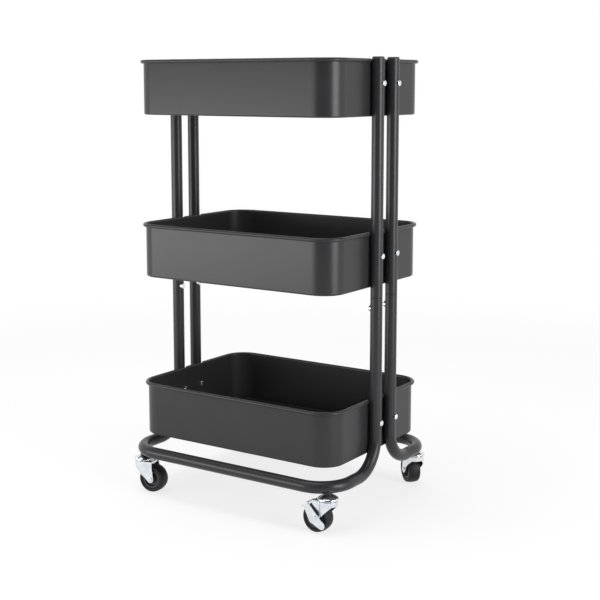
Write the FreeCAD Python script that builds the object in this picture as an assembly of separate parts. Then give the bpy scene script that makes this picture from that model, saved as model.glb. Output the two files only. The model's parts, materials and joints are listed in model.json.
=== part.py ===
import FreeCAD, Part
import math
import os

# Rolling storage cart: three deep sheet-steel trays bolted between two pairs of tube posts, on a
# base of two bent tubes with four swivel casters. Millimetres, +Z up, X along the trays.
# The origin is on the floor under the middle of the cart.

# Tube of the posts and the base
tube_diameter = 20.8
tube_wall = 1.2
post_spacing = 50.0
post_seat_gap = 0.2
seam_below_tray = 16.5
seam_gap = 1.4
post_below_rim = 0.5

# Base loops
base_height = 79.1
base_width = 351.3
upright_bend_radius = 56.5
corner_bend_radius = 56.5

# Trays
tray_length = 411.0
tray_width = 301.0
tray_height = 95.5
tray_corner_radius = 39.0
tray_sheet = 1.0
tray_bottom_bend = 3.0
tray_flange = 16.0
rim_radius = 3.2
rim_curl_end = -125.0
rim_notch_margin = 2.0
lowest_tray = 107.8
tray_pitch = 288.0
tray_names = ["bottom", "middle", "top"]

# Mesh floors
mesh_thickness = 1.0
mesh_border = 17.0
mesh_bar = 4.0
mesh_holes_long = 20
mesh_holes_wide = 14
mesh_clearance = 0.3

# Tray bolts and nuts
bolt_height = 55.0
bolt_diameter = 5.0
bolt_head_diameter = 10.0
bolt_head_height = 3.2
bolt_tail = 1.5
nut_flats = 8.0
nut_height = 4.0
hole_clearance = 0.1
thread_clearance = 0.05

# Post joints
sleeve_half_length = 32.0
sleeve_wall = 1.2
sleeve_clearance = 0.1
joint_screw_drop = 19.0
joint_screw_length = 7.0
joint_head_diameter = 11.0
joint_head_height = 2.6

# Post caps
cap_height = 3.7
cap_round = 2.4
cap_plug_length = 12.0

# Caster mountings under the base corners
weld_nut_diameter = 13.0
weld_nut_rise = 3.0
weld_nut_drop = 1.5
stem_diameter = 8.0
stem_engagement = 12.0
running_clearance = 0.12

# Caster heads
race_diameter = 36.0
race_hub_diameter = 16.0
race_skirt = 1.5
race_skirt_height = 2.8
race_dome_height = 5.5
race_round = 4.0
race_gap = 0.1
ball_diameter = 3.0
ball_pitch_diameter = 23.0
ball_count = 12
ball_clearance = 0.03
rivet_head_diameter = 14.0
rivet_head_height = 1.9
fork_sheet = 1.8
fork_nose_diameter = 33.2
fork_plate_drop = 0.1
fork_gap = 25.0
fork_leg_end_radius = 6.5
fork_nose_bottom = 49.0
fork_rear_lean = 4.0
caster_trail = 20.0

# Wheels
wheel_diameter = 50.0
wheel_width = 22.0
tyre_crown = 1.6
tyre_round = 2.0
rim_diameter = 34.0
rim_width = 20.0
rim_lip = 3.5
web_width = 10.0
hub_boss_diameter = 14.0
hub_side_gap = 0.25
axle_diameter = 6.0
axle_head_diameter = 8.0
axle_head_height = 1.2
seat_clearance = 0.05

# Side brakes
brake_sheet = 1.5
brake_half_width = 6.5
brake_stand_off = 2.4
brake_tab_clearance = 2.3
brake_tab_width = 12.0
brake_tab_overhang = 8.0
brake_tab_shift = 2.5
brake_top_reach = 22.0
brake_bottom_reach = 18.0
brake_slope = 45.0
brake_pivot_back = 5.0
brake_pivot_rise = 5.0
brake_pivot_diameter = 4.0
brake_pivot_head_diameter = 7.0
brake_pivot_collar_diameter = 5.6
brake_pivot_head_height = 1.0
brake_play = 0.1

# Caster names, corners of the base and the way each one trails at rest, in degrees from +X
casters = [
    ("front_left", -1, -1, 9.0, False),
    ("front_right", 1, -1, 178.0, True),
    ("rear_right", 1, 1, 140.0, False),
    ("rear_left", -1, 1, -25.0, True),
]

tube_radius = tube_diameter / 2
tube_bore_radius = tube_radius - tube_wall
post_x = tray_length / 2 + post_seat_gap + tube_radius
post_y = post_spacing / 2
base_y = base_width / 2 - tube_radius
seam_height = lowest_tray + tray_pitch - seam_below_tray
post_top = lowest_tray + (len(tray_names) - 1) * tray_pitch + tray_height - post_below_rim
axle_height = wheel_diameter / 2
posts = [("right_front", 1, -1), ("right_rear", 1, 1), ("left_front", -1, -1), ("left_rear", -1, 1)]


def vec(x, y, z):
    return FreeCAD.Vector(x, y, z)


up = vec(0, 0, 1)
along_x = vec(1, 0, 0)
along_y = vec(0, 1, 0)


def export(node, shape):
    shape.exportStep("parts/" + node + ".step")
    print(node, len(shape.Solids), "solids", round(shape.Volume), "mm3")


def x_cylinder(radius, start, end, y, z):
    return Part.makeCylinder(radius, abs(end - start), vec(min(start, end), y, z), along_x)


def y_cylinder(radius, start, end, x, z):
    return Part.makeCylinder(radius, abs(end - start), vec(x, min(start, end), z), along_y)


def polygon_face(points):
    return Part.Face(Part.makePolygon(points + points[:1]))


def holed_face(wires):
    # The first wire is the outline and the others are holes in it.
    return Part.makeFace(wires, "Part::FaceMakerBullseye")


def fuse_all(shapes):
    return shapes[0].fuse(shapes[1:]).removeSplitter()


def ring_face(centre, direction):
    outer = Part.Wire(Part.makeCircle(tube_radius, centre, direction))
    bore = Part.Wire(Part.makeCircle(tube_bore_radius, centre, direction))
    return holed_face([outer, bore])


def straight_tube(start, end):
    return ring_face(start, end - start).extrude(end - start)


def bent_tube(start, direction, centre, axis):
    return ring_face(start, direction).revolve(centre, axis, 90)


def tray_bottom(index):
    return lowest_tray + index * tray_pitch


# Frame

def half_base(side):
    # One half of a base loop: from the right post's seam down, forward and round to the middle.
    post_foot = vec(post_x, side * post_y, base_height + upright_bend_radius)
    bend_end = vec(post_x, side * (post_y + upright_bend_radius), base_height)
    corner_start = vec(post_x, side * (base_y - corner_bend_radius), base_height)
    corner_end = vec(post_x - corner_bend_radius, side * base_y, base_height)
    pieces = [
        straight_tube(vec(post_x, side * post_y, seam_height), post_foot),
        bent_tube(post_foot, up, vec(post_x, bend_end.y, post_foot.z), along_x * side),
        straight_tube(bend_end, corner_start),
        bent_tube(corner_start, along_y, vec(corner_end.x, corner_start.y, base_height), up * side),
        straight_tube(corner_end, vec(0, side * base_y, base_height)),
    ]
    return fuse_all(pieces)


def caster_place(x_side, y_side):
    # The caster stands under the middle of the corner bend.
    reach = corner_bend_radius * math.sqrt(0.5)
    x = x_side * (post_x - corner_bend_radius + reach)
    y = y_side * (base_y - corner_bend_radius + reach)
    return x, y


def bolt_holes(x_side, y_side, heights):
    radius = bolt_diameter / 2 + hole_clearance
    x = x_side * post_x
    return [x_cylinder(radius, x - tube_diameter, x + tube_diameter, y_side * post_y, z) for z in heights]


def joint_holes(x_side, y_side):
    # The joint screw goes in from the side that faces the trays.
    radius = bolt_diameter / 2 + thread_clearance
    z = seam_height - joint_screw_drop
    return [x_cylinder(radius, x_side * (post_x - tube_diameter), x_side * post_x, y_side * post_y, z)]


def frame_tube(side):
    right = half_base(side)
    tube = right.fuse(right.mirror(vec(0, 0, 0), along_x)).removeSplitter()
    cuts = []
    for x_side in (-1, 1):
        cuts += bolt_holes(x_side, side, [tray_bottom(0) + bolt_height])
        cuts += joint_holes(x_side, side)
        x, y = caster_place(x_side, side)
        nut_hole = weld_nut_diameter / 2 + seat_clearance
        cuts.append(Part.makeCylinder(nut_hole, tube_diameter, vec(x, y, base_height - tube_diameter)))
    return tube.cut(cuts)


def upper_post(x_side, y_side):
    x, y = x_side * post_x, y_side * post_y
    tube = straight_tube(vec(x, y, seam_height + seam_gap), vec(x, y, post_top))
    return tube.cut(bolt_holes(x_side, y_side, [tray_bottom(i) + bolt_height for i in (1, 2)]))


def joint_sleeve(x_side, y_side):
    foot = vec(x_side * post_x, y_side * post_y, seam_height - sleeve_half_length)
    radius = tube_bore_radius - sleeve_clearance
    outer = Part.makeCylinder(radius, 2 * sleeve_half_length, foot)
    bore = Part.makeCylinder(radius - sleeve_wall, 2 * sleeve_half_length, foot)
    return outer.cut(bore).cut(joint_holes(x_side, y_side))


def post_cap(x_side, y_side):
    x, y = x_side * post_x, y_side * post_y
    dome = Part.makeCylinder(tube_radius, cap_height, vec(x, y, post_top))
    top_edges = [e for e in dome.Edges if e.BoundBox.ZMin > post_top + cap_height / 2]
    dome = dome.makeFillet(cap_round, top_edges)
    plug_radius = tube_bore_radius - seat_clearance
    plug = Part.makeCylinder(plug_radius, cap_plug_length, vec(x, y, post_top - cap_plug_length))
    return dome.fuse(plug)


def saddle_head(x, y, z, out, diameter, height):
    # A round head that follows the tube it is pulled down on, facing along out.
    head = x_cylinder(diameter / 2, x, x + out * (tube_radius + height), y, z)
    crown = [e for e in head.Edges if abs(e.BoundBox.XMin - e.BoundBox.XMax) < 0.01
             and abs(e.BoundBox.XMin - x) > tube_radius]
    head = head.makeFillet(height / 2, crown)
    tube = Part.makeCylinder(tube_radius + seat_clearance, 2 * diameter, vec(x, y, z - diameter))
    return head.cut(tube)


def joint_screw(x_side, y_side):
    x, y = x_side * post_x, y_side * post_y
    z = seam_height - joint_screw_drop
    head = saddle_head(x, y, z, -x_side, joint_head_diameter, joint_head_height)
    face = x - x_side * (tube_radius + joint_head_height / 2)
    tip = x - x_side * (tube_radius - joint_screw_length)
    return head.fuse(x_cylinder(bolt_diameter / 2, face, tip, y, z)).removeSplitter()


def tray_bolt(x_side, y_side, z):
    x, y = x_side * post_x, y_side * post_y
    head = saddle_head(x, y, z, x_side, bolt_head_diameter, bolt_head_height)
    face = x + x_side * (tube_radius + bolt_head_height / 2)
    tip = x_side * (tray_length / 2 - tray_sheet - nut_height - bolt_tail)
    return head.fuse(x_cylinder(bolt_diameter / 2, face, tip, y, z)).removeSplitter()


def tray_nut(x_side, y_side, z):
    face = x_side * (tray_length / 2 - tray_sheet)
    corner = nut_flats / math.sqrt(3)
    points = []
    for k in range(6):
        angle = math.radians(60 * k)
        points.append(vec(face, y_side * post_y + corner * math.cos(angle), z + corner * math.sin(angle)))
    nut = polygon_face(points).extrude(vec(-x_side * nut_height, 0, 0))
    bore = bolt_diameter / 2 + thread_clearance
    return nut.cut(x_cylinder(bore, face, face - x_side * nut_height, y_side * post_y, z))


# Trays

def arc_edge(centre, radius, start, end):
    # An arc in the profile plane XZ, by angles in degrees.
    def at(angle):
        turn = math.radians(angle)
        return centre + vec(radius * math.cos(turn), 0, radius * math.sin(turn))
    return Part.Arc(at(start), at((start + end) / 2), at(end)).toShape()


def tray_profile():
    # Section of the tray's sheet, with the outside of the wall at X = 0 and the tray's middle
    # towards -X: flange, bottom bend, wall and a rim that is rolled outward.
    bend = vec(-tray_bottom_bend, 0, tray_bottom_bend)
    curl = vec(rim_radius - tray_sheet, 0, tray_height - rim_radius)
    outside_bend = arc_edge(bend, tray_bottom_bend, 270, 360)
    inside_curl = arc_edge(curl, rim_radius - tray_sheet, 180, rim_curl_end)
    outside_curl = arc_edge(curl, rim_radius, rim_curl_end, 180)
    inside_bend = arc_edge(bend, tray_bottom_bend - tray_sheet, 360, 270)
    flange_low = vec(-tray_flange, 0, 0)
    flange_high = vec(-tray_flange, 0, tray_sheet)
    stretches = [outside_bend, inside_curl, outside_curl, inside_bend]
    edges = [Part.makeLine(flange_low, outside_bend.Vertexes[0].Point)]
    for stretch, following in zip(stretches, stretches[1:] + [None]):
        edges.append(stretch)
        last = stretch.Vertexes[-1].Point
        following_point = following.Vertexes[0].Point if following else flange_high
        edges.append(Part.makeLine(last, following_point))
    edges.append(Part.makeLine(flange_high, flange_low))
    return Part.Face(Part.Wire(edges))


def tray_shell(index):
    # One side and one corner of the sheet for each quarter, joined into a ring.
    straight_x = tray_length / 2 - tray_corner_radius
    straight_y = tray_width / 2 - tray_corner_radius
    profile = tray_profile()
    pieces = []
    for x_side, y_side, turn in [(1, -1, 270), (1, 1, 0), (-1, 1, 90), (-1, -1, 180)]:
        corner = vec(x_side * straight_x, y_side * straight_y, 0)
        section = profile.copy()
        section.translate(vec(tray_corner_radius, 0, 0))
        section.rotate(vec(0, 0, 0), up, turn)
        section.translate(corner)
        pieces.append(section.revolve(corner, up, 90))
        back = 2 * (straight_y if turn in (0, 180) else straight_x)
        heading = math.radians(turn - 90)
        pieces.append(section.extrude(vec(back * math.cos(heading), back * math.sin(heading), 0)))
    shell = fuse_all(pieces)
    cuts = []
    for name, x_side, y_side in posts:
        notch = 2 * (tube_radius + rim_notch_margin)
        low = vec(x_side * tray_length / 2, y_side * post_y, tray_height - 3 * rim_radius)
        box = Part.makeBox(4 * rim_radius, notch, 4 * rim_radius, vec(0, -notch / 2, 0))
        box.rotate(vec(0, 0, 0), up, 0 if x_side > 0 else 180)
        box.translate(low)
        cuts.append(box)
        wall = x_side * tray_length / 2
        hole = bolt_diameter / 2 + hole_clearance
        start, end = wall - bolt_diameter, wall + bolt_diameter
        cuts.append(x_cylinder(hole, start, end, y_side * post_y, bolt_height))
    shell = shell.cut(cuts)
    shell.translate(vec(0, 0, tray_bottom(index)))
    return shell


def rounded_outline(length, width, radius):
    edges = []
    hx, hy = length / 2 - radius, width / 2 - radius
    corners = [(hx, -hy, 270), (hx, hy, 0), (-hx, hy, 90), (-hx, -hy, 180)]
    arcs = []
    for x, y, turn in corners:
        def at(angle):
            bearing = math.radians(angle)
            return vec(x + radius * math.cos(bearing), y + radius * math.sin(bearing), 0)
        arcs.append(Part.Arc(at(turn), at(turn + 45), at(turn + 90)).toShape())
    for arc, following in zip(arcs, arcs[1:] + arcs[:1]):
        edges.append(arc)
        edges.append(Part.makeLine(arc.Vertexes[-1].Point, following.Vertexes[0].Point))
    return Part.Wire(edges)


def mesh_floor(index):
    # A net of square gaps, lying on the flange of the tray and clear of the bend up to its wall.
    margin = tray_bottom_bend + mesh_clearance
    length, width = tray_length - 2 * margin, tray_width - 2 * margin
    outline = rounded_outline(length, width, tray_corner_radius - margin)
    pitch_x = (length - 2 * mesh_border + mesh_bar) / mesh_holes_long
    pitch_y = (width - 2 * mesh_border + mesh_bar) / mesh_holes_wide
    gap_x, gap_y = (pitch_x - mesh_bar) / 2, (pitch_y - mesh_bar) / 2
    wires = [outline]
    for i in range(mesh_holes_long):
        for k in range(mesh_holes_wide):
            x = (i - (mesh_holes_long - 1) / 2) * pitch_x
            y = (k - (mesh_holes_wide - 1) / 2) * pitch_y
            corners = [(-gap_x, -gap_y), (gap_x, -gap_y), (gap_x, gap_y), (-gap_x, gap_y), (-gap_x, -gap_y)]
            wires.append(Part.makePolygon([vec(x + a, y + b, 0) for a, b in corners]))
    net = holed_face(wires).extrude(vec(0, 0, mesh_thickness))
    net.translate(vec(0, 0, tray_bottom(index) + tray_sheet))
    return net


# Casters, each built with its swivel axis at X = Y = 0, trailing towards +X

nub_bottom = base_height - tube_radius - weld_nut_drop
race_top = nub_bottom
race_underside = race_top - race_dome_height - race_skirt
plate_top = race_underside - ball_diameter - 2 * ball_clearance
plate_bottom = plate_top - fork_sheet
rivet_top = plate_bottom - fork_plate_drop
fork_outer = fork_gap / 2 + fork_sheet
fork_nose = fork_nose_diameter / 2
stem_bore = stem_diameter / 2 + running_clearance


def weld_nut():
    height = weld_nut_drop + tube_radius + weld_nut_rise
    nut = Part.makeCylinder(weld_nut_diameter / 2, height, vec(0, 0, nub_bottom))
    return nut.cut(Part.makeCylinder(stem_bore, height, vec(0, 0, nub_bottom)))


def stem():
    length = nub_bottom + stem_engagement - rivet_top
    shank = Part.makeCylinder(stem_diameter / 2, length, vec(0, 0, rivet_top))
    head_low = vec(0, 0, rivet_top - rivet_head_height)
    head = Part.makeCylinder(rivet_head_diameter / 2, rivet_head_height, head_low)
    return shank.fuse(head)


def spin_z(points):
    return polygon_face([vec(r, 0, z) for r, z in points]).revolve(vec(0, 0, 0), up, 360)


def spin_y(points):
    # A turned shape about the wheel's axle, from points of radius and offset along Y.
    face = polygon_face([vec(caster_trail + r, y, axle_height) for r, y in points])
    return face.revolve(vec(caster_trail, 0, axle_height), along_y, 360)


def top_race():
    rim = race_diameter / 2
    skirt_top = race_top - race_dome_height
    skirt_low = skirt_top - race_skirt_height
    bell = spin_z([
        (stem_bore, race_top - race_gap),
        (race_hub_diameter / 2, race_top - race_gap),
        (rim, skirt_top),
        (rim, skirt_low),
        (rim - race_skirt, skirt_low),
        (rim - race_skirt, race_underside),
        (stem_bore, race_underside),
    ])
    shoulder = [e for e in bell.Edges if e.Closed and abs(e.Curve.Radius - rim) < 0.01
                and e.BoundBox.ZMin > (skirt_top + skirt_low) / 2]
    return bell.makeFillet(race_round, shoulder)


def bearing_balls():
    balls = []
    reach = ball_pitch_diameter / 2
    level = plate_top + ball_clearance + ball_diameter / 2
    for k in range(ball_count):
        angle = 2 * math.pi * k / ball_count
        centre = vec(reach * math.cos(angle), reach * math.sin(angle), level)
        balls.append(Part.makeSphere(ball_diameter / 2, centre))
    return Part.makeCompound(balls)


def leg_outline():
    # Side view of the fork: leaning forward a little behind the axle, and sloping at 45 degrees in
    # front of it up to the foot of the nose.
    rear = caster_trail + fork_leg_end_radius
    slant = fork_leg_end_radius * math.sqrt(0.5)
    foot = vec(caster_trail - slant, 0, axle_height - slant)
    knee = vec(foot.x - (fork_nose_bottom - foot.z), 0, fork_nose_bottom)
    front = -fork_nose - fork_sheet
    lowest = vec(caster_trail, 0, axle_height - fork_leg_end_radius)
    end_round = Part.Arc(vec(rear, 0, axle_height), lowest, foot)
    corners = [foot, knee, vec(front, 0, fork_nose_bottom), vec(front, 0, plate_top),
               vec(rear - fork_rear_lean, 0, plate_top), vec(rear, 0, axle_height)]
    edges = [end_round.toShape()]
    for start, end in zip(corners, corners[1:]):
        edges.append(Part.makeLine(start, end))
    return Part.Face(Part.Wire(edges))


def fork_channel(nose_radius, half_width, top):
    # A round nose about the swivel axis and two straight sides, pinched in a little behind it.
    length = caster_trail + 2 * fork_leg_end_radius
    nose = Part.makeCylinder(nose_radius, top)
    return nose.fuse(Part.makeBox(length, 2 * half_width, top, vec(0, -half_width, 0)))


def fork(braked):
    outside = fork_channel(fork_nose, fork_outer, plate_top)
    inside = fork_channel(fork_nose - fork_sheet, fork_gap / 2, plate_bottom)
    side = leg_outline().extrude(vec(0, 2 * fork_nose, 0))
    side.translate(vec(0, -fork_nose, 0))
    body = outside.cut(inside).common(side).removeSplitter()
    axle_hole = axle_diameter / 2 + seat_clearance
    cuts = [
        Part.makeCylinder(stem_bore, plate_top),
        y_cylinder(axle_hole, -fork_outer, fork_outer, caster_trail, axle_height),
    ]
    if braked:
        pivot_hole = brake_pivot_diameter / 2 + seat_clearance
        cuts.append(y_cylinder(pivot_hole, 0, fork_outer, pivot_x, pivot_z))
    return body.cut(cuts)


def axle():
    radius, head = axle_diameter / 2, axle_head_diameter / 2
    outer = fork_outer + axle_head_height
    return spin_y([
        (0, -outer), (head, -outer), (head, -fork_outer), (radius, -fork_outer),
        (radius, fork_outer), (head, fork_outer), (head, outer), (0, outer),
    ])


def hub():
    bore = axle_diameter / 2 + running_clearance
    boss, face = hub_boss_diameter / 2, fork_gap / 2 - hub_side_gap
    rim, web = rim_diameter / 2, web_width / 2
    half = [(bore, face), (boss, face), (boss, web), (rim - rim_lip, web), (rim - rim_lip, rim_width / 2),
            (rim, rim_width / 2)]
    return spin_y(half + [(r, -y) for r, y in half[::-1]])


def tyre():
    # The tread is crowned: it stands highest round the middle of the wheel.
    inner, outer = rim_diameter / 2 + seat_clearance, wheel_diameter / 2
    half, shoulder = wheel_width / 2, outer - tyre_crown

    def at(radius, y):
        return vec(caster_trail + radius, y, axle_height)
    tread = Part.Arc(at(shoulder, -half), at(outer, 0), at(shoulder, half)).toShape()
    sides = Part.makePolygon([at(shoulder, half), at(inner, half), at(inner, -half), at(shoulder, -half)])
    section = Part.Face(Part.Wire([tread] + sides.Edges))
    ring = section.revolve(vec(caster_trail, 0, axle_height), along_y, 360)
    tread_edges = [e for e in ring.Edges if e.Closed and abs(e.Length - 2 * math.pi * shoulder) < 0.01]
    return ring.makeFillet(tyre_round, tread_edges)


# Side brake: a plate across the wheel whose tab comes down on the tread when it is pressed

pivot_x = caster_trail - brake_pivot_back
pivot_z = axle_height + brake_pivot_rise
brake_inner = fork_outer + brake_stand_off
brake_outer = brake_inner + brake_sheet


def along_brake(reach):
    turn = math.radians(brake_slope)
    return pivot_x + reach * math.cos(turn), pivot_z + reach * math.sin(turn)


def brake_strip(start, end, half_width):
    # A flat strip with round ends between two places in the side view.
    ends = [y_cylinder(half_width, brake_inner, brake_outer, x, z) for x, z in (start, end)]
    run = vec(end[0] - start[0], 0, end[1] - start[1])
    across = run.cross(along_y).normalize() * half_width
    first, last = vec(start[0], brake_inner, start[1]), vec(end[0], brake_inner, end[1])
    flat = polygon_face([first + across, last + across, last - across, first - across])
    return fuse_all(ends + [flat.extrude(vec(0, brake_sheet, 0))])


def brake_lever():
    # The plate is a bar past the pivot, widened towards the axle, whose head it covers.
    low, high = along_brake(-brake_bottom_reach), along_brake(brake_top_reach)
    boss = (caster_trail, axle_height)
    sides = [(low, high), (low, boss), (boss, high)]
    strips = [brake_strip(start, end, brake_half_width) for start, end in sides]
    tab_length = brake_outer + brake_tab_overhang
    tab_reach = wheel_diameter / 2 + brake_tab_clearance
    tab_corner = vec(tab_reach, -brake_tab_overhang, brake_tab_shift - brake_tab_width / 2)
    tab = Part.makeBox(brake_sheet, tab_length, brake_tab_width, tab_corner)
    tab.rotate(vec(0, 0, 0), along_y, -brake_slope)
    tab.translate(vec(caster_trail, 0, axle_height))
    hole = brake_pivot_diameter / 2 + running_clearance
    return fuse_all(strips + [tab]).cut(y_cylinder(hole, brake_inner, brake_outer, pivot_x, pivot_z))


def brake_pivot():
    # A rivet whose collar holds the lever off the fork's leg.
    radius, head = brake_pivot_diameter / 2, brake_pivot_head_diameter / 2
    collar = brake_pivot_collar_diameter / 2
    seat = brake_outer + brake_play
    pin = y_cylinder(radius, fork_gap / 2, seat, pivot_x, pivot_z)
    shoulder = y_cylinder(collar, fork_outer, brake_inner - brake_play, pivot_x, pivot_z)
    cap = y_cylinder(head, seat, seat + brake_pivot_head_height, pivot_x, pivot_z)
    return fuse_all([pin, shoulder, cap])


def placed(shape, x, y, turn):
    moved = shape.copy()
    moved.rotate(vec(0, 0, 0), up, turn)
    moved.translate(vec(x, y, 0))
    return moved


os.makedirs("parts", exist_ok=True)

export("front_frame_tube", frame_tube(-1))
export("rear_frame_tube", frame_tube(1))
for name, x_side, y_side in posts:
    export("post_" + name, upper_post(x_side, y_side))
    export("post_cap_" + name, post_cap(x_side, y_side))
    export("joint_sleeve_" + name, joint_sleeve(x_side, y_side))
export("joint_screws", Part.makeCompound([joint_screw(x_side, y_side) for name, x_side, y_side in posts]))

bolts = []
nuts = []
for index, name in enumerate(tray_names):
    export(name + "_tray", tray_shell(index))
    export(name + "_mesh_floor", mesh_floor(index))
    for post, x_side, y_side in posts:
        bolts.append(tray_bolt(x_side, y_side, tray_bottom(index) + bolt_height))
        nuts.append(tray_nut(x_side, y_side, tray_bottom(index) + bolt_height))
export("tray_bolts", Part.makeCompound(bolts))
export("tray_nuts", Part.makeCompound(nuts))

weld_nuts = []
for name, x_side, y_side, turn, braked in casters:
    x, y = caster_place(x_side, y_side)
    weld_nuts.append(placed(weld_nut(), x, y, turn))
    export("stem_" + name, placed(stem(), x, y, turn))
    export("top_race_" + name, placed(top_race(), x, y, turn))
    export("bearing_balls_" + name, placed(bearing_balls(), x, y, turn))
    export("fork_" + name, placed(fork(braked), x, y, turn))
    export("axle_" + name, placed(axle(), x, y, turn))
    export("hub_" + name, placed(hub(), x, y, turn))
    export("tyre_" + name, placed(tyre(), x, y, turn))
    if braked:
        export("brake_lever_" + name, placed(brake_lever(), x, y, turn))
        export("brake_pivot_" + name, placed(brake_pivot(), x, y, turn))
export("caster_weld_nuts", Part.makeCompound(weld_nuts))
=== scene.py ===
# %% [markdown]
# # A rolling storage cart
# The cart has three deep steel trays, bolted between two pairs of tube posts that stand on bent
# base tubes with swivel casters. The construction arrives as a fixed frame, already at its real
# size. This lesson dresses it: finishes for every surface, finer sheet-metal shapes where the eye
# comes close, a plain studio and a camera at the height of the top tray.

# %% Load the frame
import json
import math

import bmesh
import bpy
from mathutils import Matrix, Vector


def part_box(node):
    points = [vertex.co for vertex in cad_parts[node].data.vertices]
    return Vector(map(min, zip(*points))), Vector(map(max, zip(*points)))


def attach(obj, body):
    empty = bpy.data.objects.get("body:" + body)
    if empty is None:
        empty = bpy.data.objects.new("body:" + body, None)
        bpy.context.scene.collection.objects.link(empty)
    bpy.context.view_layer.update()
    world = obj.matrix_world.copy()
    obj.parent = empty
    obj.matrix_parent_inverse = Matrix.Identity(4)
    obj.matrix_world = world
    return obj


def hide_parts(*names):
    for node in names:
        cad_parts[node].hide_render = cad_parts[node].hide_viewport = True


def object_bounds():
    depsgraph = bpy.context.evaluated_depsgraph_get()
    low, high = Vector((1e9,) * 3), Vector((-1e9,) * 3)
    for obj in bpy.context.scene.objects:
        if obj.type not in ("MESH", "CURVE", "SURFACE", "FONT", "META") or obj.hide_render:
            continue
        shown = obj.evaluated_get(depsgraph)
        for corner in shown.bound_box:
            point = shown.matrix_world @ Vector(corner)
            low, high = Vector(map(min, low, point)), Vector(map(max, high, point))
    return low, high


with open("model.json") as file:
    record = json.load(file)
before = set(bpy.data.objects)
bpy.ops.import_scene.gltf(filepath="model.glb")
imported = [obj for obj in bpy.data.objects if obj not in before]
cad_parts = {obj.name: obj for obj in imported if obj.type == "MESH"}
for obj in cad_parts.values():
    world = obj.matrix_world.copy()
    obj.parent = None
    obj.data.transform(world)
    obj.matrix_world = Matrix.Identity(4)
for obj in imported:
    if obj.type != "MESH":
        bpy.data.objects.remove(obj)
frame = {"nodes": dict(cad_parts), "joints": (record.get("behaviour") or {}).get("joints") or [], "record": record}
frame_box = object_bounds()
nodes = frame["nodes"]
MM = 0.001
print("frame:", len(nodes), "nodes,", [round(v / MM) for v in frame_box[1] - frame_box[0]], "mm")

# %% [markdown]
# ## Colour and node helpers
# Paint charts and screens give colours as sRGB hex values, while the renderer works in linear
# light, so one function converts them. A second small function adds a shader node, sets its
# options and fills its sockets with numbers or links. Every finish below is built with these two.

# %% Colour and node helpers
def linear(hex_colour):
    channels = [int(hex_colour[i:i + 2], 16) / 255 for i in (1, 3, 5)]
    curve = [c / 12.92 if c <= 0.04045 else ((c + 0.055) / 1.055) ** 2.4 for c in channels]
    return (*curve, 1.0)


def add_node(tree, kind, inputs, **settings):
    node = tree.nodes.new(kind)
    for name, value in settings.items():
        setattr(node, name, value)
    # Some nodes hold a hidden socket of the same name for each data type, so only enabled ones count.
    enabled = [socket for socket in node.inputs if socket.enabled]
    for name, value in inputs.items():
        socket = next(s for s in enabled if name in (s.name, s.identifier))
        if isinstance(value, bpy.types.Node):
            value = next(s for s in value.outputs if s.enabled)
        if isinstance(value, bpy.types.NodeSocket):
            tree.links.new(value, socket)
        else:
            socket.default_value = value
    return node


def start_finish(name):
    material = bpy.data.materials.new(name)
    material.use_nodes = True
    tree = material.node_tree
    tree.nodes.clear()
    place = add_node(tree, "ShaderNodeTexCoord", {}).outputs["Object"]
    return material, tree, place


def end_finish(tree, inputs):
    shader = add_node(tree, "ShaderNodeBsdfPrincipled", inputs)
    add_node(tree, "ShaderNodeOutputMaterial", {"Surface": shader})


def per_metre(size_mm):
    # A noise scale that gives features of about this size.
    return 1 / (size_mm * MM)


print("mid grey in linear light:", [round(c, 3) for c in linear("#808080")[:3]])

# %% [markdown]
# ## Charcoal powder coat
# Trays, posts and base are steel with an epoxy-polyester powder coat. The powder melts in an oven
# and flows into a skin with a faint orange peel, so the surface is satin: it shows soft, broad
# highlights on the rounded corners and no sharp reflections. The peel is about 2 mm across and is
# drawn at 3 mm, because finer grain is lost at this distance. Slow changes of tone and gloss keep
# large flat walls from looking like plain fill.

# %% Charcoal powder coat
def powder_coat(name, dark, light, gloss_low, gloss_high):
    material, tree, place = start_finish(name)
    cloud = add_node(tree, "ShaderNodeTexNoise", {
        "Vector": place, "Scale": per_metre(60), "Detail": 4.0, "Roughness": 0.55})
    tone = add_node(tree, "ShaderNodeMix", {
        "Factor": cloud, "A": linear(dark), "B": linear(light)}, data_type="RGBA")
    peel = add_node(tree, "ShaderNodeTexNoise", {
        "Vector": place, "Scale": per_metre(3), "Detail": 2.0, "Roughness": 0.5})
    gloss = add_node(tree, "ShaderNodeMapRange", {
        "Value": peel, "To Min": gloss_low, "To Max": gloss_high})
    bump = add_node(tree, "ShaderNodeBump", {
        "Height": peel, "Strength": 0.12, "Distance": 0.15 * MM})
    end_finish(tree, {
        "Base Color": tone, "Roughness": gloss,
        "Normal": bump, "IOR": 1.36})
    return material


tray_coat = powder_coat("powder_coat_on_sheet_steel", "#28282a", "#2e2e2f", 0.27, 0.37)
tube_coat = powder_coat("powder_coat_on_steel_tube", "#272729", "#2c2c2e", 0.26, 0.36)
print("finishes:", tray_coat.name, tube_coat.name)

# %% [markdown]
# ## Bright zinc plate
# Bolts, forks and brake levers are pressed or cold-headed steel, barrel-plated with zinc and
# passivated blue. Zinc is a metal, so its colour is the colour of its reflection: cool white with
# faint blue clouds where the passivate is thicker. Barrel plating leaves a soft shine, not a mirror.
# Its grain is finer than 0.1 mm and is drawn at 1.2 mm, so that it shows at all.

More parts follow.
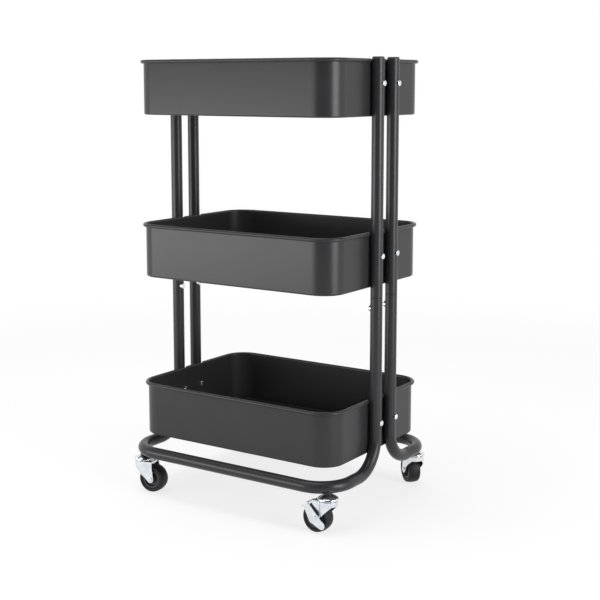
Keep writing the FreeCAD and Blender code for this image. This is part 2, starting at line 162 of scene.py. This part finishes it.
# %% Bright zinc plate
def zinc_plate():
    material, tree, place = start_finish("blue_passivated_zinc_plate")
    cloud = add_node(tree, "ShaderNodeTexNoise", {
        "Vector": place, "Scale": per_metre(9), "Detail": 3.0, "Roughness": 0.6})
    tone = add_node(tree, "ShaderNodeMix", {
        "Factor": cloud, "A": linear("#c0ccd6"), "B": linear("#fafbfb")}, data_type="RGBA")
    grain = add_node(tree, "ShaderNodeTexNoise", {
        "Vector": place, "Scale": per_metre(1.2), "Detail": 2.0})
    gloss = add_node(tree, "ShaderNodeMapRange", {
        "Value": grain, "To Min": 0.12, "To Max": 0.24})
    bump = add_node(tree, "ShaderNodeBump", {
        "Height": grain, "Strength": 0.10, "Distance": 0.08 * MM})
    end_finish(tree, {
        "Base Color": tone, "Metallic": 1.0,
        "Roughness": gloss, "Normal": bump})
    return material


zinc = zinc_plate()
print("finish:", zinc.name)

# %% [markdown]
# ## Drawn steel, plain and darkened as painted shade
# The sleeves inside the post joints are drawn tube, coloured matt and nearly black as painted shade,
# so the seams of the posts read as thin dark lines, as the narrow gaps do where shade falls into them.
# The bearing balls have no coat, and are plain grey metal. Both show drawing lines along the piece,
# which are drawn coarser than the real ones, and one function makes the two.

# %% Drawn steel, plain and darkened as painted shade
def drawn_steel(name, dark, light, gloss_low, gloss_high, metallic):
    material, tree, place = start_finish(name)
    stretch = add_node(tree, "ShaderNodeMapping", {"Vector": place, "Scale": (1.0, 1.0, 0.08)})
    lines = add_node(tree, "ShaderNodeTexNoise", {
        "Vector": stretch, "Scale": per_metre(0.8), "Detail": 3.0})
    tone = add_node(tree, "ShaderNodeMix", {
        "Factor": lines, "A": linear(dark), "B": linear(light)}, data_type="RGBA")
    gloss = add_node(tree, "ShaderNodeMapRange", {
        "Value": lines, "To Min": gloss_low, "To Max": gloss_high})
    end_finish(tree, {
        "Base Color": tone, "Metallic": metallic, "Roughness": gloss})
    return material


plain_steel = drawn_steel("plain_drawn_steel", "#7c7d7e", "#a3a4a4", 0.28, 0.45, 1.0)
# The sleeves' matt, near-black colour is painted shade, so the post seams read as dark lines.
sleeve_steel_painted_seam_shade = drawn_steel("drawn_steel_darkened_as_painted_seam_shade", "#171718", "#1f1f20", 0.6, 0.75, 0.0)
print("finishes:", plain_steel.name, sleeve_steel_painted_seam_shade.name)

# %% [markdown]
# ## Rubber and moulded plastic
# The tyres are moulded black rubber: carbon black gives a warm, brownish black, and the mould's
# spark-eroded texture scatters light, so it stays dull. Hubs and post caps are moulded plastic,
# a little smoother. The real texture is about 0.1 mm and is drawn at 0.7 to 0.9 mm, or it would be
# lost. One function makes the three: all come out of a mould, and only their colour, grain, relief
# and gloss differ.

# %% Rubber and moulded plastic
def moulded(name, dark, light, grain_mm, gloss_low, gloss_high, relief_mm, ior):
    material, tree, place = start_finish(name)
    grain = add_node(tree, "ShaderNodeTexNoise", {
        "Vector": place, "Scale": per_metre(grain_mm), "Detail": 3.0, "Roughness": 0.6})
    # The tone changes slowly, over about a dozen grains.
    cloud = add_node(tree, "ShaderNodeTexNoise", {
        "Vector": place, "Scale": per_metre(12 * grain_mm), "Detail": 3.0})
    tone = add_node(tree, "ShaderNodeMix", {
        "Factor": cloud, "A": linear(dark), "B": linear(light)}, data_type="RGBA")
    gloss = add_node(tree, "ShaderNodeMapRange", {
        "Value": grain, "To Min": gloss_low, "To Max": gloss_high})
    bump = add_node(tree, "ShaderNodeBump", {
        "Height": grain, "Strength": 0.25, "Distance": relief_mm * MM})
    end_finish(tree, {
        "Base Color": tone, "Roughness": gloss,
        "Normal": bump, "IOR": ior})
    return material


rubber = moulded("moulded_black_rubber", "#100e0f", "#171415", 0.9, 0.44, 0.57, 0.12, 1.34)
hub_plastic = moulded("moulded_polypropylene_hub", "#2a2728", "#343031", 0.7, 0.42, 0.56, 0.06, 1.49)
cap_plastic = moulded("moulded_polyethylene_cap", "#28282a", "#303031", 0.8, 0.4, 0.52, 0.06, 1.49)
print("finishes:", rubber.name, hub_plastic.name, cap_plastic.name)

# %% [markdown]
# ## Finishes on the frame's pieces
# The record of the frame gives each piece a material slot. A table from slot to finish dresses all
# of them, with two exceptions. Tube and tray share a slot, and the tube is a shade glossier because
# the powder flows off a round bar. Sleeves and balls share one too, and only the sleeves are darkened
# to near black, as painted shade for the post seams. Curved faces are shaded smooth up to a crease angle.

# %% Finishes on the frame's pieces
CREASE = math.radians(32)
finish_of_slot = {
    "charcoal_powder_coat": tube_coat,
    "zinc_plate": zinc,
    "bare_steel": plain_steel,
    "black_cap_plastic": cap_plastic,
    "hub_plastic": hub_plastic,
    "black_rubber": rubber,
}
slot_of_node = {row["node"]: row["material_slot"] for row in frame["record"]["subparts"]}


def finish_for(node):
    if node.endswith(("_tray", "_mesh_floor")):
        return tray_coat
    # The sleeves get a near-black finish as painted shade for the post seams, in place of their bare steel slot.
    if node.startswith("joint_sleeve_"):
        return sleeve_steel_painted_seam_shade
    return finish_of_slot[slot_of_node[node]]


def shade_smooth(mesh):
    mesh.polygons.foreach_set("use_smooth", [True] * len(mesh.polygons))
    mesh.set_sharp_from_angle(angle=CREASE)


for name, obj in nodes.items():
    obj.data.materials.clear()
    obj.data.materials.append(finish_for(name))
    shade_smooth(obj.data)
print("dressed", len(nodes), "nodes")

# %% [markdown]
# ## Pressed and headed steel
# The frame's forks, levers, races, bolts and nuts have knife-sharp edges. Real ones are sheared,
# pressed or cold-headed and then tumbled in the plating barrel, so every edge is round and catches
# a thread of light. Each is copied to a new piece whose doubled points are joined, so that a bevel
# can follow its edges. A bevel is chosen over modelling again, because the shapes are right already.

# %% Pressed and headed steel
POINT_GAP = 0.002 * MM
FLAT_ANGLE = math.radians(1)
TUMBLED_EDGE = 0.35 * MM
bodies = frame["record"]["behaviour"]["bodies"]
body_of_node = {node: body for body, members in bodies.items() for node in members}


def add_piece(name, mesh, node):
    # A piece that stands for a node of the frame, with its finish, its body and its slot.
    mesh.materials.clear()
    mesh.materials.append(finish_for(node))
    shade_smooth(mesh)
    piece = bpy.data.objects.new(name, mesh)
    bpy.context.scene.collection.objects.link(piece)
    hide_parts(node)
    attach(piece, body_of_node[node])
    return piece


def joined_copy(node):
    mesh = bpy.data.meshes.new(node + "_joined")
    shape = bmesh.new()
    shape.from_mesh(nodes[node].data)
    bmesh.ops.remove_doubles(shape, verts=shape.verts, dist=POINT_GAP)
    bmesh.ops.dissolve_limit(shape, angle_limit=FLAT_ANGLE, verts=shape.verts, edges=shape.edges)
    shape.to_mesh(mesh)
    shape.free()
    if "custom_normal" in mesh.attributes:
        mesh.attributes.remove(mesh.attributes["custom_normal"])
    return mesh


def round_edges(piece, width):
    bevel = piece.modifiers.new("tumbled_edges", "BEVEL")
    bevel.width = width
    bevel.segments = 2
    bevel.limit_method = "ANGLE"
    bevel.angle_limit = CREASE
    bevel.harden_normals = True


plated_nodes = [node for node, slot in slot_of_node.items() if slot == "zinc_plate"]
for node in plated_nodes:
    plated = add_piece(node + "_tumbled", joined_copy(node), node)
    round_edges(plated, TUMBLED_EDGE)
print("rounded the edges of", len(plated_nodes), "plated pieces")

# %% [markdown]
# ## Tyres and hubs
# A caster wheel is a moulded hub with a rubber tyre. Both come out of round moulds, so both are
# turned here from an outline, like work on a lathe. The tyre's tread is crowned, its shoulders are
# round, and a low step runs round each side where the mould's ring sat. The hub has a deep recess
# on each side of its web. The axle joint of each wheel gives its middle and its axis.

# %% Tyres and hubs
TURNED_STEPS = 96
SHOULDER_STEPS = 6
TREAD_STEPS = 5
SEAT_GAP_MM = 0.05
RIM_INSET_MM = 1.0
joint_of = {joint["name"]: joint for joint in frame["joints"]}
caster_names = [name.removeprefix("swivel_turn_") for name in joint_of if name.startswith("swivel_turn_")]


def turned(name, outline, middle, axis):
    # A closed outline of (radius, offset) in mm, turned about a level axis through the middle.
    mesh = bpy.data.meshes.new(name)
    toward = Vector((0, 0, 1))
    across = axis.cross(toward).normalized()
    points = []
    for k in range(TURNED_STEPS):
        angle = math.tau * k / TURNED_STEPS
        spoke = toward * math.cos(angle) + across * math.sin(angle)
        points += [middle + (spoke * radius + axis * offset) * MM for radius, offset in outline]
    count = len(outline)
    faces = []
    for k in range(TURNED_STEPS):
        near, far = k * count, (k + 1) % TURNED_STEPS * count
        for i in range(count):
            j = (i + 1) % count
            faces.append((near + i, near + j, far + j, far + i))
    mesh.from_pydata(points, [], faces)
    return mesh


def both_sides(half):
    # The other half is a mirror image, without a second copy of a point on the middle line.
    return half + [(radius, -offset) for radius, offset in reversed(half) if offset]


def reach_of(node, middle, axis):
    # How far a node reaches from its axis and along it, in mm.
    offsets = [v.co - middle for v in nodes[node].data.vertices]
    along = [offset.dot(axis) for offset in offsets]
    radius = max((offset - axis * a).length for offset, a in zip(offsets, along))
    return radius / MM, max(along) / MM


def tyre_outline(rim_radius, radius, half_width):
    # A low step by the rim, a round shoulder and a crowned tread.
    step, crown, shoulder, shoulder_drop = 1.1, 1.6, 2.1, 3.2
    tread_half, shoulder_low = half_width - shoulder, radius - shoulder_drop
    half = [(rim_radius, half_width - step), (rim_radius + 1.4, half_width - step),
            (rim_radius + 1.9, half_width - 0.7), (rim_radius + 2.3, half_width - 0.15),
            (rim_radius + 2.9, half_width)]
    shoulder_top = radius - crown * (tread_half / half_width) ** 2
    for k in range(SHOULDER_STEPS + 1):
        angle = math.pi / 2 * k / SHOULDER_STEPS
        half.append((shoulder_low + (shoulder_top - shoulder_low) * math.sin(angle),
                     tread_half + shoulder * math.cos(angle)))
    for k in range(1, TREAD_STEPS + 1):
        offset = tread_half * (1 - k / TREAD_STEPS)
        half.append((radius - crown * (offset / half_width) ** 2, offset))
    return both_sides(half)


def hub_outline(rim_radius, face, lip):
    # Bore, boss and web, with small steps that round the moulded edges.
    bore, boss, web = 3.12, 7.0, 5.0
    return both_sides([
        (bore, face), (boss - 0.7, face), (boss, face - 0.7), (boss + 0.2, web + 0.7), (boss + 0.9, web),
        (rim_radius - 4.5, web), (rim_radius - 3.7, web + 0.8), (rim_radius - 3.3, lip - 0.4),
        (rim_radius - 2.8, lip), (rim_radius - 0.5, lip), (rim_radius, lip - 0.5)])


for name in caster_names:
    spin = joint_of["wheel_spin_" + name]
    middle, axis = Vector(spin["pos_m"]), Vector(spin["axis"])
    tyre_radius, tyre_half = reach_of("tyre_" + name, middle, axis)
    hub_radius, hub_half = reach_of("hub_" + name, middle, axis)
    tyre = turned("tyre", tyre_outline(hub_radius + SEAT_GAP_MM, tyre_radius, tyre_half), middle, axis)
    hub = turned("hub", hub_outline(hub_radius, hub_half, tyre_half - RIM_INSET_MM), middle, axis)
    add_piece("tyre_" + name + "_turned", tyre, "tyre_" + name)
    add_piece("hub_" + name + "_turned", hub, "hub_" + name)
print("turned", len(caster_names), "tyres and hubs,", round(2 * tyre_radius), "mm across")

# %% [markdown]
# ## Expanded-metal floors
# The floor of each tray is sheet steel that was slit and stretched until the slits opened into
# diamonds. It lies on the tray's flange with a plain border. The diamonds could be cut from a plate
# one by one, but a lattice of small frames that share their corners gives the same net with even
# strands. The space between the lattice and the rounded outline is then filled, and the flat net
# is thickened to the sheet's gauge.

# %% Expanded-metal floors
HALF_LONG = 7.0 * MM
HALF_SHORT = 4.0 * MM
STRAND_SHARE = 0.24
FLOOR_BORDER = 15.0 * MM
FLOOR_CORNER = 35.7 * MM
CORNER_STEPS = 12


def rounded_loop(half_x, half_y, radius):
    points = []
    for x_side, y_side, turn in [(1, -1, 270), (1, 1, 0), (-1, 1, 90), (-1, -1, 180)]:
        for k in range(CORNER_STEPS + 1):
            angle = math.radians(turn + 90 * k / CORNER_STEPS)
            points.append((x_side * (half_x - radius) + radius * math.cos(angle),
                           y_side * (half_y - radius) + radius * math.sin(angle)))
    return points


def inside_rounded(x, y, half_x, half_y, radius):
    over_x = max(abs(x) - (half_x - radius), 0)
    over_y = max(abs(y) - (half_y - radius), 0)
    return abs(x) < half_x and abs(y) < half_y and math.hypot(over_x, over_y) < radius


def expanded_floor(node):
    low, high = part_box(node)
    half_x, half_y = (high.x - low.x) / 2, (high.y - low.y) / 2
    net = bmesh.new()
    corners = {}

    def corner(i, k):
        # Corners of the diamonds, counted in half diagonals from the middle.
        if (i, k) not in corners:
            corners[i, k] = net.verts.new((i * HALF_LONG, k * HALF_SHORT, low.z))
        return corners[i, k]

    reach_i, reach_k = int(half_x / HALF_LONG), int(half_y / HALF_SHORT)
    inner_x, inner_y = half_x - FLOOR_BORDER, half_y - FLOOR_BORDER
    inner_radius = FLOOR_CORNER - FLOOR_BORDER
    diamonds = 0
    for i in range(-reach_i, reach_i + 1):
        for k in range(-reach_k, reach_k + 1):
            ends = [(i + 1, k), (i, k + 1), (i - 1, k), (i, k - 1)]
            if (i + k) % 2 or not all(
                    inside_rounded(a * HALF_LONG, b * HALF_SHORT, inner_x, inner_y, inner_radius)
                    for a, b in ends):
                continue
            centre = Vector((i * HALF_LONG, k * HALF_SHORT, low.z))
            outer = [corner(a, b) for a, b in ends]
            inner = [net.verts.new(v.co.lerp(centre, STRAND_SHARE)) for v in outer]
            for a in range(4):
                b = (a + 1) % 4
                net.faces.new((outer[a], outer[b], inner[b], inner[a]))
            diamonds += 1
    lattice_corners = set(corners.values())
    rim = [e for e in net.edges if len(e.link_faces) == 1 and lattice_corners.issuperset(e.verts)]
    loop = [net.verts.new((x, y, low.z)) for x, y in rounded_loop(half_x, half_y, FLOOR_CORNER)]
    outline = [net.edges.new((a, b)) for a, b in zip(loop, loop[1:] + loop[:1])]
    bmesh.ops.triangle_fill(net, use_beauty=True, use_dissolve=False, edges=rim + outline)
    bmesh.ops.recalc_face_normals(net, faces=net.faces)
    if net.faces[0].normal.z < 0:
        bmesh.ops.reverse_faces(net, faces=net.faces)
    mesh = bpy.data.meshes.new(node + "_net")
    net.to_mesh(mesh)
    net.free()
    piece = add_piece(node + "_expanded_metal", mesh, node)
    gauge = piece.modifiers.new("gauge", "SOLIDIFY")
    gauge.thickness = high.z - low.z
    gauge.offset = 1.0
    return diamonds


for node in [name for name in nodes if name.endswith("_mesh_floor")]:
    print(node, "with", expanded_floor(node), "diamonds")

# %% [markdown]
# ## The studio
# A white paper sweep stands for floor and background. Seen by the camera, by mirror-like metal or
# through anything clear, the surroundings are white, and so is the paper, which fades to pure
# white away from the cart and keeps a light shadow near it. All other light comes from three soft
# boxes and a dimmer glow all round, at a level where colours come out about as they are written.
# A low broad box at the front left gives the sheen on the tray fronts, a tall one at the right
# draws the bright line on corners and posts, and one overhead lays the shadows under the casters.
# A dark cloth behind the camera and another over the stage keep the rounded corners and the plated
# tops deep in tone, as photographers do for satin metal. Only reflections see them.

# %% The studio
CART_MIDDLE = (frame_box[0] + frame_box[1]) / 2
HALF_FLOOR = 30.0
CLOTH_BEARING = 34
CLOTH_DISTANCE = 2.7
CLOTH_HALF_WIDTH = 2.0
CLOTH_HALF_HEIGHT = 1.1
CEILING_HEIGHT = 3.6
CEILING_HALF = 3.5
FADE_START = 1.1
FADE_END = 2.2
WHITE_SHARE = 0.75
ROOM_GLOW = 0.5


def seen_white(tree):
    # 1 for rays that look at the background, 0 for rays that gather light.
    ray = add_node(tree, "ShaderNodeLightPath", {})
    clear = add_node(tree, "ShaderNodeMath", {
        "Value": ray.outputs["Is Camera Ray"], "Value_001": ray.outputs["Is Transmission Ray"]},
        operation="MAXIMUM")
    return add_node(tree, "ShaderNodeMath", {
        "Value": clear, "Value_001": ray.outputs["Is Glossy Ray"]}, operation="MAXIMUM")


def paper_sweep():
    material, tree, place = start_finish("white_paper_sweep")
    reach = add_node(tree, "ShaderNodeVectorMath", {"Vector": place}, operation="LENGTH")
    share = add_node(tree, "ShaderNodeMapRange", {
        "Value": reach, "From Min": FADE_START, "From Max": FADE_END,
        "To Min": WHITE_SHARE, "To Max": 1.0}, interpolation_type="SMOOTHSTEP")
    shown_share = add_node(tree, "ShaderNodeMath", {
        "Value": share, "Value_001": seen_white(tree)}, operation="MULTIPLY")
    paper = add_node(tree, "ShaderNodeBsdfDiffuse", {"Color": linear("#f2f2f2")})
    white = add_node(tree, "ShaderNodeEmission", {"Color": linear("#ffffff"), "Strength": 1.0})
    shown = add_node(tree, "ShaderNodeMixShader", {
        "Fac": shown_share, "Shader": paper, "Shader_001": white})
    add_node(tree, "ShaderNodeOutputMaterial", {"Surface": shown})
    return material


def black_velvet():
    # The nap is about 1 mm and is drawn at 8 mm, as only blurred reflections see it.
    material, tree, place = start_finish("black_velvet_cloth")
    nap = add_node(tree, "ShaderNodeTexNoise", {"Vector": place, "Scale": per_metre(8), "Detail": 2.0})
    tone = add_node(tree, "ShaderNodeMix", {
        "Factor": nap, "A": linear("#080808"), "B": linear("#101010")}, data_type="RGBA")
    cloth = add_node(tree, "ShaderNodeBsdfDiffuse", {"Color": tone})
    add_node(tree, "ShaderNodeOutputMaterial", {"Surface": cloth})
    return material


def surroundings():
    world = bpy.data.worlds.new("white_studio")
    bpy.context.scene.world = world
    world.use_nodes = True
    tree = world.node_tree
    tree.nodes.clear()
    level = add_node(tree, "ShaderNodeMapRange", {
        "Value": seen_white(tree), "To Min": ROOM_GLOW, "To Max": 1.0})
    glow = add_node(tree, "ShaderNodeBackground", {"Color": linear("#ffffff"), "Strength": level})
    add_node(tree, "ShaderNodeOutputWorld", {"Surface": glow})


def stage_card(name, centre, across, rise, finish):
    # A flat rectangle with half sides across and rise.
    mesh = bpy.data.meshes.new(name)
    mesh.from_pydata([centre + across * a + rise * b for a, b in ((-1, -1), (1, -1), (1, 1), (-1, 1))],
                     [], [(0, 1, 2, 3)])
    mesh.materials.append(finish)
    card = bpy.data.objects.new(name, mesh)
    bpy.context.scene.collection.objects.link(card)
    return card


def soft_box(name, place, width, height, power):
    data = bpy.data.lights.new(name, "AREA")
    data.shape = "RECTANGLE"
    data.size = width
    data.size_y = height
    data.energy = power
    lamp = bpy.data.objects.new(name, data)
    lamp.location = place
    lamp.rotation_euler = (CART_MIDDLE - Vector(place)).to_track_quat("-Z", "Y").to_euler()
    bpy.context.scene.collection.objects.link(lamp)


def round_cart(bearing, distance, height):
    # A place round the cart, by its bearing in degrees to the right of the cart's front.
    angle = math.radians(bearing)
    return Vector((distance * math.sin(angle), -distance * math.cos(angle), height))


floor_x, floor_y = Vector((HALF_FLOOR, 0, 0)), Vector((0, HALF_FLOOR, 0))
stage_card("paper_floor", Vector((0, 0, 0)), floor_x, floor_y, paper_sweep())
cloth_middle = round_cart(CLOTH_BEARING, CLOTH_DISTANCE, CLOTH_HALF_HEIGHT)
cloth_side = round_cart(CLOTH_BEARING + 90, CLOTH_HALF_WIDTH, 0.0)
ceiling_middle = Vector((0, 0, CEILING_HEIGHT))
ceiling_x, ceiling_y = Vector((CEILING_HALF, 0, 0)), Vector((0, CEILING_HALF, 0))
velvet = black_velvet()
dark_cloths = [
    stage_card("dark_cloth", cloth_middle, cloth_side, Vector((0, 0, CLOTH_HALF_HEIGHT)), velvet),
    stage_card("dark_ceiling", ceiling_middle, ceiling_x, ceiling_y, velvet),
]
for cloth in dark_cloths:
    cloth.visible_camera = False
    cloth.visible_diffuse = False
    cloth.visible_shadow = False
surroundings()
soft_box("front_left_soft_box", round_cart(-35, 2.0, 0.36), width=1.6, height=0.6, power=17.5)
soft_box("right_soft_box", round_cart(84, 2.6, 0.8), width=1.2, height=1.6, power=46)
soft_box("overhead_soft_box", (-0.5, -0.3, 3.0), width=2.2, height=2.2, power=55)
print("studio ready, middle of the cart at", [round(v / MM) for v in CART_MIDDLE])

# %% [markdown]
# ## The camera
# The cart is seen from the front right, from just below the rim of the top tray, through a long
# lens. The verticals hardly converge, so the lens looks down only a little and its picture is
# shifted to hold the casters.

# %% The camera
CAMERA_PLACE = (1.2397, -1.7828, 0.7387)
CAMERA_TURN = math.radians(33.855)
CAMERA_DIP = math.radians(7.61)
FOCAL_LENGTH = 73.1
SENSOR_WIDTH = 36.0
PICTURE_SHIFT = -0.09

camera_data = bpy.data.cameras.new("camera")
camera_data.sensor_width = SENSOR_WIDTH
camera_data.lens = FOCAL_LENGTH
camera_data.shift_y = PICTURE_SHIFT
camera = bpy.data.objects.new("camera", camera_data)
camera.location = CAMERA_PLACE
camera.rotation_euler = (math.pi / 2 - CAMERA_DIP, 0, CAMERA_TURN)
bpy.context.scene.collection.objects.link(camera)
bpy.context.scene.camera = camera
bpy.context.scene.view_settings.view_transform = "Standard"
print("lens", camera_data.lens, "mm")
